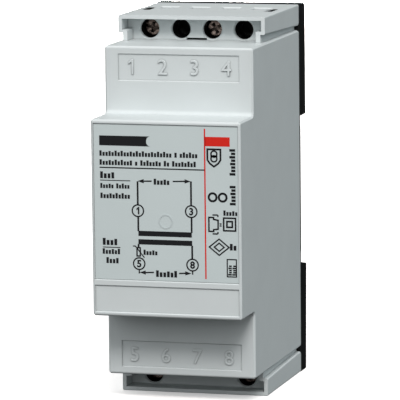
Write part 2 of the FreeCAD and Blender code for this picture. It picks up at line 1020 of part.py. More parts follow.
def past_bar(x):
    """Cutter for what a slanting lead would put into its bar or into the flange."""
    behind = block_between(
        x - lead_diameter,
        x + lead_diameter,
        bar_front,
        bar_rear,
        bar_hole_level - bar_tail,
        block_bottom,
    )
    below = block_between(
        x - lead_diameter,
        x + lead_diameter,
        core_centre - lead_diameter,
        core_centre + lead_diameter,
        flange_top - lead_diameter,
        flange_top,
    )
    return [behind, below]


def make_crossing_lead(x):
    """Upper lead that rises beside the core, bends over its edge and runs to its bar."""
    over = core_half_height + lead_over_core
    corner = FreeCAD.Vector(lead_offset, core_centre + lead_rise_ahead, over)
    lead = bent_lead(lead_start(lead_offset), corner, lead_end(x), lead_diameter, lead_bend_radius)
    return lead.cut(past_bar(x) + past_bar(lead_offset))


def thermistor_place():
    """Centre of the thermistor's disc, in the upper half."""
    x = terminal_x[0] + thermistor_beside_terminal
    y = core_centre - thermistor_ahead
    z = bar_hole_level - thermistor_leg_spacing / 2
    return x, y, z


def make_thermistor(x):
    """Disc thermistor; one leg runs to the bar at x, the other down to the winding's lead."""
    cx, cy, cz = thermistor_place()
    front, rear = cy - thermistor_thickness / 2, cy + thermistor_thickness / 2
    disc = rod_deep(cx, front, rear, cz, thermistor_diameter / 2)
    disc = disc.makeChamfer(thermistor_edge, [e for e in disc.Edges if e.Closed])
    low = cz - thermistor_leg_spacing / 2
    bend = [
        (x + lead_bend_radius * (1 - math.sin(angle)), cy + lead_bend_radius * (1 - math.cos(angle)))
        for angle in (0, math.pi / 6, math.pi / 3, math.pi / 2)
    ]
    places = [(cx, cy)] + bend + [(x, bar_front)]
    points = [FreeCAD.Vector(px, py, bar_hole_level) for px, py in places]
    to_bar = wire_along(points, thermistor_leg, thermistor_leg_sides)
    across = [FreeCAD.Vector(cx, cy, low), FreeCAD.Vector(x, cy, low)]
    to_lead = wire_along(across, thermistor_leg, thermistor_leg_sides)
    return disc.fuse([to_bar, to_lead]).removeSplitter()


def make_thermistor_lead(x):
    """Upright lead from the winding to the second leg of the thermistor."""
    cy, low = thermistor_place()[1], thermistor_place()[2] - thermistor_leg_spacing / 2
    radius = lead_diameter / 2
    start = FreeCAD.Vector(x - radius, cy, flange_top)
    return straight_lead(start, FreeCAD.Vector(x - radius, cy, low + radius), lead_diameter)


# All pieces


def clamp_nodes():
    """Screws, cages and bars of the four terminals that hold a clamp."""
    nodes = {}
    for number, x in upper_clamps.items():
        nodes[f"terminal_screw_{number}"] = make_screw(x, screw_slot_turns[number])
        nodes[f"terminal_cage_{number}"] = make_cage(x)
        nodes[f"terminal_bar_{number}"] = make_bar(x)
    for number, x in lower_clamps.items():
        nodes[f"terminal_screw_{number}"] = upside_down(make_screw(x, screw_slot_turns[number]))
        nodes[f"terminal_cage_{number}"] = upside_down(make_cage(x))
        nodes[f"terminal_bar_{number}"] = upside_down(make_bar(x))
    return nodes


def coil_nodes():
    """Core, bobbin, windings, tapes, thermistor and leads."""
    return {
        "core_e_plates": make_core_e(),
        "core_i_plates": make_core_i(),
        "bobbin": make_bobbin(),
        "secondary_winding": make_winding(),
        "secondary_tape": make_tape(),
        "primary_winding": upside_down(make_winding()),
        "primary_tape": upside_down(make_tape()),
        "secondary_lead_1": make_side_lead(upper_clamps["1"]),
        "secondary_lead_3": make_crossing_lead(upper_clamps["3"]),
        "primary_lead_8": upside_down(make_side_lead(lower_clamps["8"])),
        "primary_lead_5": upside_down(make_thermistor_lead(lower_clamps["5"])),
        "thermistor": upside_down(make_thermistor(lower_clamps["5"])),
    }


def housing_nodes():
    """Cover, label, base, latch, spring and terminal blocks."""
    lower_places = list(lower_clamps.values())
    return {
        "housing_cover": make_housing_cover(),
        "front_label": make_front_label(),
        "rear_base": make_rear_base(),
        "rail_latch": make_rail_latch(),
        "latch_spring": make_latch_spring(),
        "upper_terminal_block": make_terminal_block(terminal_x, list(upper_clamps.values())),
        "lower_terminal_block": upside_down(make_terminal_block(lower_places, lower_places)),
    }


def main():
    """Writes one STEP file for each piece."""
    os.makedirs("parts", exist_ok=True)
    nodes = {**housing_nodes(), **clamp_nodes(), **coil_nodes()}
    for name, shape in nodes.items():
        shape.exportStep(f"parts/{name}.step")
        solids = len(shape.Solids)
        print(f"{name}: {solids} solid(s), valid {shape.isValid()}, {shape.Volume:.1f} mm3")


main()
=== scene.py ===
"""Bell transformer in a two-module rail housing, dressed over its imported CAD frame."""

import logging
import math
from dataclasses import dataclass, field
from enum import Enum

import bmesh
import bpy
from mathutils import Matrix, Vector


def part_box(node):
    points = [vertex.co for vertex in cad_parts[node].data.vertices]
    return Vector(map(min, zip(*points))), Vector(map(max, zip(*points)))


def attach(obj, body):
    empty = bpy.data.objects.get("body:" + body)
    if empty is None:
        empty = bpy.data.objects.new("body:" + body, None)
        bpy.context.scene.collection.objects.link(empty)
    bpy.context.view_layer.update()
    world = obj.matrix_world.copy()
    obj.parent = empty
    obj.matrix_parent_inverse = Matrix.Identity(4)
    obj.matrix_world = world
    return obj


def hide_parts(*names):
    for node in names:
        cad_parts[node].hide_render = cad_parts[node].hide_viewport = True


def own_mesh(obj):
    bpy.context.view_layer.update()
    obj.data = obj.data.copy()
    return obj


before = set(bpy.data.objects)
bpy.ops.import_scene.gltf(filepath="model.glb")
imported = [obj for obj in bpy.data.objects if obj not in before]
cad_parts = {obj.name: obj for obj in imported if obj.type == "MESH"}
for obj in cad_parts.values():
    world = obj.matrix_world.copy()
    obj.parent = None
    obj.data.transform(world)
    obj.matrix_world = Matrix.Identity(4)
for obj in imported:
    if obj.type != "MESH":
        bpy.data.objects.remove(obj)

LOG = logging.getLogger("bell_transformer")
MM = 0.001
BODY = "housing"
# Range that holds nearly all values of a noise.
NOISE_RANGE = (0.3, 0.7)
# Length of one band of Blender's wave texture at a scale of 1.
WAVE_PERIOD = math.pi / 10.0
# Openness below which the shade painted into a crease is at its darkest.
FULL_SHADE_OPENNESS = 0.45
# Samples for how closed in a crease is, for its painted shade.
CREASE_SHADE_SAMPLES = 8
EDGE_SAMPLES = 6
WHITE = (1.0, 1.0, 1.0)
Point = tuple[float, float]
Colour = tuple[float, float, float]


class Ink(Enum):
    """Colours that the front foil is printed with."""

    BLACK = "black"
    RED = "red"


class Axis(Enum):
    """Direction of a surface's drawn or wound lines, or of a change in the sky."""

    X = "X"
    Y = "Y"
    Z = "Z"

    def stretch(self, share: float) -> tuple[float, ...]:
        """Gives the scale that draws a texture's spots out into lines along the axis."""
        return tuple(share if axis == self.value else 1.0 for axis in "XYZ")


def mix_colours(
    tree: bpy.types.NodeTree,
    factor: bpy.types.NodeSocket,
    first: Colour,
    second: Colour,
) -> bpy.types.NodeSocket:
    """Adds a mix of two colours to a node tree.

    Args:
        tree: Tree of a material or of the world.
        factor: Socket from 0 to 1 that goes from the first colour to the second.
        first: Linear colour at 0.
        second: Linear colour at 1.

    Returns:
        The mixed colour.
    """
    mix = tree.nodes.new("ShaderNodeMix")
    mix.data_type = "RGBA"
    tree.links.new(factor, mix.inputs["Factor"])
    ends = [socket for socket in mix.inputs if socket.type == "RGBA"]
    for socket, colour in zip(ends, (first, second)):
        socket.default_value = (*colour, 1.0)
    return next(socket for socket in mix.outputs if socket.type == "RGBA")


class MaterialNodes:
    """Short hand for making and joining the shader nodes of one material."""

    def __init__(self, name: str) -> None:
        """Makes an empty material with a Principled shader.

        Args:
            name: Name of the material.
        """
        self.material = bpy.data.materials.new(name)
        self.material.use_nodes = True
        self.tree = self.material.node_tree
        self.shader = self.tree.nodes["Principled BSDF"]
        self.place = self.tree.nodes.new("ShaderNodeTexCoord").outputs["Object"]

    def add(self, kind: str, **inputs: object) -> bpy.types.Node:
        """Adds a node and fills or joins its inputs.

        Args:
            kind: Blender's name of the node type.
            inputs: Values or output sockets by input name, with spaces as underscores.

        Returns:
            The new node.
        """
        node = self.tree.nodes.new(kind)
        for name, value in inputs.items():
            self.join(value, node.inputs[name.replace("_", " ")])
        return node

    def join(self, value: object, socket: bpy.types.NodeSocket) -> None:
        """Sets a socket to a value, or links an output to it.

        Args:
            value: A number, a colour or an output socket.
            socket: The input that takes it.
        """
        if isinstance(value, bpy.types.NodeSocket):
            self.tree.links.new(value, socket)
        else:
            socket.default_value = value

    def noise(
        self,
        size_mm: float,
        detail: float = 3.0,
        roughness: float = 0.5,
        stretch: tuple[float, ...] | None = None,
    ) -> bpy.types.NodeSocket:
        """Noise whose features have about the given size.

        Args:
            size_mm: Size of one feature in millimetres.
            detail: Number of finer layers.
            roughness: Strength of the finer layers.
            stretch: Scale along X, Y and Z, where the features aren't round.

        Returns:
            The noise's factor.
        """
        place = self.place
        if stretch:
            place = self.add("ShaderNodeMapping", Vector=place, Scale=stretch).outputs["Vector"]
        node = self.add(
            "ShaderNodeTexNoise",
            Vector=place,
            Scale=1.0 / (size_mm * MM),
            Detail=detail,
            Roughness=roughness,
        )
        return node.outputs["Fac"]

    def spread(self, value: bpy.types.NodeSocket, low: float, high: float) -> bpy.types.NodeSocket:
        """Maps the middle of a noise onto a range.

        Args:
            value: The noise's factor.
            low: Value for the darkest parts.
            high: Value for the lightest parts.

        Returns:
            The mapped value.
        """
        node = self.add("ShaderNodeMapRange", Value=value)
        node.inputs["From Min"].default_value, node.inputs["From Max"].default_value = NOISE_RANGE
        node.inputs["To Min"].default_value, node.inputs["To Max"].default_value = low, high
        return node.outputs["Result"]

    def tint(
        self,
        colour: Colour,
        factor: bpy.types.NodeSocket,
        change: float,
    ) -> bpy.types.NodeSocket:
        """Varies a colour a little between two shades.

        Args:
            colour: Linear colour of the middle shade.
            factor: Socket from 0 to 1 that picks the shade.
            change: Share by which the shades differ from the middle.

        Returns:
            The varied colour.
        """
        dark = tuple(c * (1 - change) for c in colour)
        light = tuple(min(c * (1 + change), 1.0) for c in colour)
        return mix_colours(self.tree, factor, dark, light)

    def painted_crease_shade(
        self,
        colour: bpy.types.NodeSocket,
        reach_mm: float,
        darkest: float,
    ) -> bpy.types.NodeSocket:
        """Paints shade into a colour in grooves and inner corners, where shade gathers.

        Args:
            colour: The colour in the open.
            reach_mm: How far from a corner the painted shade reaches.
            darkest: Share of the colour that is left in a deep corner.

        Returns:
            The colour with shade painted into its creases.
        """
        hollow = self.add("ShaderNodeAmbientOcclusion", Distance=reach_mm * MM)
        hollow.samples = CREASE_SHADE_SAMPLES
        share = self.add("ShaderNodeMapRange", Value=hollow.outputs["AO"])
        share.inputs["From Min"].default_value = FULL_SHADE_OPENNESS
        share.inputs["To Min"].default_value = darkest
        scaled = self.add("ShaderNodeVectorMath")
        scaled.operation = "SCALE"
        self.join(colour, scaled.inputs[0])
        self.join(share.outputs["Result"], scaled.inputs["Scale"])
        return scaled.outputs["Vector"]

    def bump(self, height: bpy.types.NodeSocket, depth_mm: float, edge_mm: float = 0.0) -> None:
        """Gives the shader a bumped normal, with softened edges where asked.

        Args:
            height: Socket with the height from 0 to 1.
            depth_mm: Depth of the relief in millimetres.
            edge_mm: Radius by which sharp edges look rounded.
        """
        node = self.add("ShaderNodeBump", Height=height, Distance=depth_mm * MM, Strength=1.0)
        if edge_mm > 0:
            soft = self.add("ShaderNodeBevel", Radius=edge_mm * MM)
            soft.samples = EDGE_SAMPLES
            self.join(soft.outputs["Normal"], node.inputs["Normal"])
        self.join(node.outputs["Normal"], self.shader.inputs["Normal"])

    def set(self, **constants: float | tuple[float, ...]) -> None:
        """Sets constants on the shader's own sockets, by name with spaces as underscores."""
        for name, value in constants.items():
            self.shader.inputs[name.replace("_", " ")].default_value = value

    def paint(self, colour: bpy.types.NodeSocket) -> None:
        """Gives the shader its colour."""
        self.join(colour, self.shader.inputs["Base Color"])

    def roughen(self, value: bpy.types.NodeSocket, low: float, high: float) -> None:
        """Varies the shader's roughness between two values, by a noise."""
        self.join(self.spread(value, low, high), self.shader.inputs["Roughness"])


@dataclass(frozen=True)
class MouldedPlastic:
    """Injection-moulded plastic with a fine eroded grain and shade painted into its creases."""

    name: str
    colour: Colour
    roughness: float
    roughness_change: float = 0.05
    grain_mm: float = 0.16
    grain_roughness: float = 0.6
    grain_depth_mm: float = 0.006
    cloud_mm: float = 9.0
    cloud_change: float = 0.02
    edge_mm: float = 0.12
    specular: float = 0.42
    refraction: float = 1.53
    # How far the shade painted into creases reaches, and the share of the colour left at its
    # darkest.
    shade_reach_mm: float = 0.4
    shade_left: float = 0.66

    def material(self) -> bpy.types.Material:
        """Builds the material.

        Returns:
            The moulded plastic.
        """
        nodes = MaterialNodes(self.name)
        cloud = nodes.noise(self.cloud_mm, detail=4.0)
        grain = nodes.noise(self.grain_mm, detail=2.0, roughness=self.grain_roughness)
        colour = nodes.tint(self.colour, nodes.spread(cloud, 0.0, 1.0), self.cloud_change)
        # Painted shade in grooves and inner corners.
        nodes.paint(nodes.painted_crease_shade(colour, self.shade_reach_mm, self.shade_left))
        low, high = self.roughness - self.roughness_change, self.roughness + self.roughness_change
        nodes.roughen(grain, low, high)
        nodes.set(Specular_IOR_Level=self.specular, IOR=self.refraction)
        nodes.bump(grain, self.grain_depth_mm, self.edge_mm)
        return nodes.material


@dataclass(frozen=True)
class PrintedFoil:
    """Satin plastic foil that carries the print."""

    name: str
    colour: Colour
    roughness: float
    roughness_change: float = 0.03
    weave_mm: float = 0.35
    weave_depth_mm: float = 0.0015
    ripple_mm: float = 12.0
    ripple_change: float = 0.012
    coat: float = 0.05
    coat_roughness: float = 0.3
    specular: float = 0.35

    def material(self) -> bpy.types.Material:
        """Builds the material.

        Returns:
            The foil, or the ink on it.
        """
        nodes = MaterialNodes(self.name)
        weave = nodes.noise(self.weave_mm, detail=2.0)
        ripple = nodes.noise(self.ripple_mm, detail=2.0)
        nodes.paint(nodes.tint(self.colour, nodes.spread(ripple, 0.0, 1.0), self.ripple_change))
        low, high = self.roughness - self.roughness_change, self.roughness + self.roughness_change
        nodes.roughen(ripple, low, high)
        nodes.set(
            Specular_IOR_Level=self.specular,
            Coat_Weight=self.coat,
            Coat_Roughness=self.coat_roughness,
        )
        nodes.bump(weave, self.weave_depth_mm)
        return nodes.material


@dataclass(frozen=True)
class WorkedMetal:
    """Turned, stamped or plated metal with fine drawn lines and shade painted into its creases."""

    name: str
    colour: Colour
    roughness: float
    grain: Axis
    line_mm: float = 0.08
    line_depth_mm: float = 0.003
    line_stretch: float = 0.04
    smoother: float = 0.08
    rougher: float = 0.1
    edge_mm: float = 0.06
    stain_change: float = 0.12
    stain_mm: float = 1.6
    # How far the shade painted into creases reaches, and the share of the colour left at its
    # darkest.
    shade_reach_mm: float = 0.3
    shade_left: float = 0.75

    def material(self) -> bpy.types.Material:
        """Builds the material.

        Returns:
            The metal.
        """
        nodes = MaterialNodes(self.name)
        lines = nodes.noise(self.line_mm, detail=2.0, stretch=self.grain.stretch(self.line_stretch))
        stain = nodes.noise(self.stain_mm, detail=4.0)
        colour = nodes.tint(self.colour, nodes.spread(stain, 0.0, 1.0), self.stain_change)
        # Painted shade in grooves and inner corners.
        nodes.paint(nodes.painted_crease_shade(colour, self.shade_reach_mm, self.shade_left))
        nodes.roughen(lines, self.roughness - self.smoother, self.roughness + self.rougher)
        nodes.set(Metallic=1.0)
        nodes.bump(lines, self.line_depth_mm, self.edge_mm)
        return nodes.material


@dataclass(frozen=True)
class BandedSurface:
    """Surface of many equal layers, such as stacked plates or wound wire."""

    name: str
    colour: Colour
    seam_colour: Colour
    grain: Axis
    pitch_mm: float
    depth_mm: float
    metallic: float
    roughness: float
    roughness_change: float = 0.08
    patch_mm: float = 0.8
    wander: float = 0.15

    def material(self) -> bpy.types.Material:
        """Builds the material.

        Returns:
            The layered surface.
        """
        nodes = MaterialNodes(self.name)
        bands = nodes.add(
            "ShaderNodeTexWave",
            Vector=nodes.place,
            Scale=WAVE_PERIOD / (self.pitch_mm * MM),
            Distortion=self.wander,
            Detail=1.0,
        )
        bands.bands_direction = self.grain.value
        wave = bands.outputs["Fac"]
        layer = nodes.spread(wave, 0.0, 1.0)
        nodes.paint(mix_colours(nodes.tree, layer, self.seam_colour, self.colour))
        low, high = self.roughness - self.roughness_change, self.roughness + self.roughness_change
        nodes.roughen(nodes.noise(self.patch_mm), low, high)
        nodes.set(Metallic=self.metallic)
        nodes.bump(wave, self.depth_mm)
        return nodes.material


def dress(node: str, material: bpy.types.Material) -> None:
    """Gives a CAD node its material.

    Args:
        node: Name of the CAD node.
        material: The finish that it gets.
    """
    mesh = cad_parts[node].data
    mesh.materials.clear()
    mesh.materials.append(material)
    LOG.info("node %s: %s", node, material.name)


def add_piece(
    name: str,
    mesh: bpy.types.Mesh,
    material: bpy.types.Material,
) -> bpy.types.Object:
    """Puts a new piece on the housing.

    Args:
        name: Name of the piece.
        mesh: Its mesh, in metres in the CAD frame.
        material: Its finish.

    Returns:
        The new object.
    """
    mesh.materials.clear()
    mesh.materials.append(material)
    piece = bpy.data.objects.new(name, mesh)
    bpy.context.scene.collection.objects.link(piece)
    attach(piece, BODY)
    LOG.info("piece %s: %d faces", name, len(mesh.polygons))
    return piece


@dataclass
class FlatShapes:
    """Flat shapes on a plane that faces the front, each a thin closed slab."""

    back: float
    thickness: float
    block_width: float = 0.42
    block_gap: float = 0.15
    block_heights: tuple[float, ...] = (1.0, 0.72, 0.72, 0.9, 0.72, 1.0, 0.72)
    mesh: bmesh.types.BMesh = field(default_factory=bmesh.new)

    def loop(self, points: list[Point], y: float) -> list[bmesh.types.BMVert]:
        """Adds one loop of corners, given as (X, Z) in millimetres, at a depth Y."""
        return [self.mesh.verts.new((x * MM, y * MM, z * MM)) for x, z in points]

    def polygon(self, points: list[Point]) -> None:
        """Adds a slab with one outline.

        Args:
            points: Corners as (X, Z) in millimetres, in order.
        """
        front = self.loop(points, self.back - self.thickness)
        rear = self.loop(points, self.back)
        self.mesh.faces.new(front)
        self.mesh.faces.new(list(reversed(rear)))
        self.sides(front, rear)

    def sides(self, front: list[bmesh.types.BMVert], rear: list[bmesh.types.BMVert]) -> None:
        """Joins two loops with a band of faces.

        Args:
            front: Corners in front.
            rear: Corners behind, in the same order.
        """
        count = len(front)
        for i in range(count):
            j = (i + 1) % count
            self.mesh.faces.new((front[i], rear[i], rear[j], front[j]))

    def bar(self, x0: float, z0: float, x1: float, z1: float) -> None:
        """Adds an upright rectangle from its lower left to its upper right corner."""
        self.polygon([(x0, z0), (x1, z0), (x1, z1), (x0, z1)])

    def stroke(self, start: Point, end: Point, width: float) -> None:
        """Adds a straight line of a given width.

        Args:
            start: First end, in millimetres.
            end: Last end, in millimetres.
            width: Width of the line.
        """
        run = Vector((end[0] - start[0], end[1] - start[1]))
        side = Vector((-run.y, run.x)).normalized() * (width / 2)
        a, b = Vector(start), Vector(end)
        self.polygon([tuple(a - side), tuple(b - side), tuple(b + side), tuple(a + side)])

    def hollow(self, outer: list[Point], inner: list[Point]) -> None:
        """Adds a slab with a hole.

        Args:
            outer: Corners of the outline as (X, Z) in millimetres, in order.
            inner: As many corners of the hole, in the same order.
        """
        near, far = self.back - self.thickness, self.back
        corners = ((outer, near), (inner, near), (inner, far), (outer, far))
        loops = [self.loop(points, y) for points, y in corners]
        for first, second in zip(loops, loops[1:] + loops[:1]):
            self.sides(first, second)

    def ring(self, centre: Point, radius: float, width: float, steps: int = 40) -> None:
        """Adds a ring.

        Args:
            centre: Its centre, in millimetres.
            radius: Radius to the middle of the line.
            width: Width of the line.
            steps: Number of corners round it.
        """
        ways = [2 * math.pi * i / steps for i in range(steps)]
        outer, inner = (
            [(centre[0] + r * math.cos(way), centre[1] + r * math.sin(way)) for way in ways]
            for r in (radius + width / 2, radius - width / 2)
        )
        self.hollow(outer, inner)

    def frame_of(self, x0: float, z0: float, x1: float, z1: float, width: float) -> None:
        """Adds the outline of a rectangle.

        Args:
            x0: Left edge.
            z0: Lower edge.
            x1: Right edge.
            z1: Upper edge.
            width: Width of the line, which lies inside the edges.
        """
        half = width / 2
        left, low, right, high = x0 + half, z0 + half, x1 - half, z1 - half
        self.outline([(left, low), (right, low), (right, high), (left, high)], width)

    def outline(self, corners: list[Point], width: float) -> None:
        """Adds a closed line through some corners, with mitred turns.

        Args:
            corners: The corners, in order.
            width: Width of the line.
        """
        points = [Vector(corner) for corner in corners]
        turns = zip(points[-1:] + points[:-1], points, points[1:] + points[:1])
        outer, inner = [], []
        for before, corner, after in turns:
            arriving, leaving = (corner - before).normalized(), (after - corner).normalized()
            mitre = Vector((arriving.y + leaving.y, -arriving.x - leaving.x)).normalized()
            reach = width / 2 / mitre.dot(Vector((arriving.y, -arriving.x)))
            outer.append(tuple(corner + mitre * reach))
            inner.append(tuple(corner - mitre * reach))
        self.hollow(outer, inner)

    def words(
        self,
        x0: float,
        z: float,
        counts: list[int],
        height: float,
        upright: bool = False,
    ) -> None:
        """Adds a line of small print as rows of plain blocks, one row for each word.

        Args:
            x0: Left end of the line, or the middle of a line that runs upwards.
            z: Foot of the line, or the lower end of a line that runs upwards.
            counts: Number of blocks of each word.
            height: Height of the tall blocks.
            upright: Whether the line runs upwards.
        """
        wide, gap = height * self.block_width, height * self.block_gap
        along, index = 0.0, 0
        for count in counts:
            for _ in range(count):
                tall = height * self.block_heights[index % len(self.block_heights)]
                if upright:
                    self.bar(x0 + height / 2 - tall, z + along, x0 + height / 2, z + along + wide)
                else:
                    self.bar(x0 + along, z, x0 + along + wide, z + tall)
                along += wide + gap
                index += 1
            along += wide

    def finish(self, name: str) -> bpy.types.Mesh:
        """Closes the slabs into one mesh.

        Args:
            name: Name of the mesh.

        Returns:
            The mesh.
        """
        bmesh.ops.recalc_face_normals(self.mesh, faces=self.mesh.faces)
        mesh = bpy.data.meshes.new(name)
        self.mesh.to_mesh(mesh)
        self.mesh.free()
        return mesh


@dataclass
class Numeral:
    """One plain number that stands on a plane facing the front."""

    text: str
    centre: Point
    back: float
    height: float
    thickness: float
    bevel: float = 0.0
    weight: float = 0.0
    curve_steps: int = 4
    one_corners: tuple[Point, ...] = (
        (0.21, 0.0),
        (0.33, 0.0),
        (0.33, 1.0),
        (0.24, 1.0),
        (0.0, 0.8),
        (0.0, 0.67),
        (0.21, 0.83),
    )

    def mesh(self) -> bpy.types.Mesh:
        """Builds the number.

        Returns:
            Its mesh, in metres in the CAD frame.
        """
        curve = self.flagged_one() if self.text == "1" else self.typed()
        curve.offset = self.weight
        curve.extrude = (self.thickness - self.bevel) / 2
        curve.bevel_depth = self.bevel
        curve.bevel_resolution = 1
        mesh = self.meshed(curve)
        bpy.data.curves.remove(curve)
        self.place(mesh)
        return mesh

    def flagged_one(self) -> bpy.types.Curve:
        """Draws the one with its flag, which the built-in numerals lack.

        Returns:
            Its flat curve, in millimetres.
        """
        curve = bpy.data.curves.new("numeral_1", "CURVE")
        curve.dimensions = "2D"
        curve.fill_mode = "BOTH"
        line = curve.splines.new("POLY")
        line.points.add(len(self.one_corners) - 1)
        for point, (x, y) in zip(line.points, self.one_corners):
            point.co = (x * self.height, y * self.height, 0.0, 1.0)
        line.use_cyclic_u = True
        return curve

    def typed(self) -> bpy.types.Curve:
        """Types the number at its height.

        Returns:
            Its flat curve, in millimetres.
        """
        curve = bpy.data.curves.new(f"numeral_{self.text}", "FONT")
        curve.body = self.text
        curve.size = 1.0
        curve.resolution_u = self.curve_steps
        flat = self.meshed(curve)
        heights = [v.co.y for v in flat.vertices]
        bpy.data.meshes.remove(flat)
        curve.size = self.height / (max(heights) - min(heights))
        return curve

    def meshed(self, curve: bpy.types.Curve) -> bpy.types.Mesh:
        """Turns a curve into a mesh.

        Args:
            curve: The curve, which stays.

        Returns:
            The mesh.
        """
        holder = bpy.data.objects.new(curve.name, curve)
        bpy.context.scene.collection.objects.link(holder)
        bpy.context.view_layer.update()
        graph = bpy.context.evaluated_depsgraph_get()
        mesh = bpy.data.meshes.new_from_object(holder.evaluated_get(graph))
        bpy.data.objects.remove(holder)
        return mesh

    def place(self, mesh: bpy.types.Mesh) -> None:
        """Stands the flat number up and moves it to its place.

        Args:
            mesh: The number as typed, in millimetres.
        """
        xs = [v.co.x for v in mesh.vertices]
        ys = [v.co.y for v in mesh.vertices]
        low = min(v.co.z for v in mesh.vertices)
        middle = Vector(((min(xs) + max(xs)) / 2, (min(ys) + max(ys)) / 2, low))
        upright = Matrix(((1, 0, 0), (0, 0, -1), (0, 1, 0))).to_4x4()
        move = Matrix.Translation((self.centre[0], self.back, self.centre[1]))
        mesh.transform(Matrix.Scale(MM, 4) @ move @ upright @ Matrix.Translation(-middle))


def merged(name: str, meshes: list[bpy.types.Mesh]) -> bpy.types.Mesh:
    """Joins meshes into one.

    Args:
        name: Name of the new mesh.
        meshes: The meshes, which are removed.

    Returns:
        The joined mesh.
    """
    joined = bmesh.new()
    for mesh in meshes:
        joined.from_mesh(mesh)
        bpy.data.meshes.remove(mesh)
    result = bpy.data.meshes.new(name)
    joined.to_mesh(result)
    joined.free()
    return result


@dataclass(frozen=True)
class NumeralRow:
    """One row of raised terminal numbers: what it says, where, how tall and how far raised."""

    texts: str
    level: float
    height: float
    rise: float


@dataclass
class Housing:
    """Grey cover with its raised terminal numbers."""

    finish: MouldedPlastic = MouldedPlastic("light_grey_moulding", (0.56, 0.60, 0.605), 0.46)
    panel_face: float = -43.25
    upper_row: NumeralRow = NumeralRow("1234", 33.28, 3.45, 0.24)
    lower_row: NumeralRow = NumeralRow("5678", -33.32, 3.3, 0.17)
    numeral_bevel: float = 0.07
    numeral_weight: float = -0.05
    pitch: float = 7.5
    slot: str = "grey_plastic"

    def build(self) -> None:
        """Dresses the cover and adds the numbers of both rows."""
        grey = self.finish.material()
        dress("housing_cover", grey)
        for row in (self.upper_row, self.lower_row):
            middle = (len(row.texts) - 1) / 2
            for place, text in enumerate(row.texts):
                self.add_numeral(text, (place - middle) * self.pitch, row, grey)

    def add_numeral(
        self,
        text: str,
        x: float,
        row: NumeralRow,
        grey: bpy.types.Material,
    ) -> None:
        """Adds one raised number.

        Args:
            text: The number.
            x: Its place across the panel.
            row: The row that it stands in.
            grey: Finish of the cover.
        """
        numeral = Numeral(
            text,
            (x, row.level),
            self.panel_face,
            row.height,
            row.rise,
            self.numeral_bevel,
            self.numeral_weight,
        )
        add_piece(f"terminal_number_{text}", numeral.mesh(), grey)


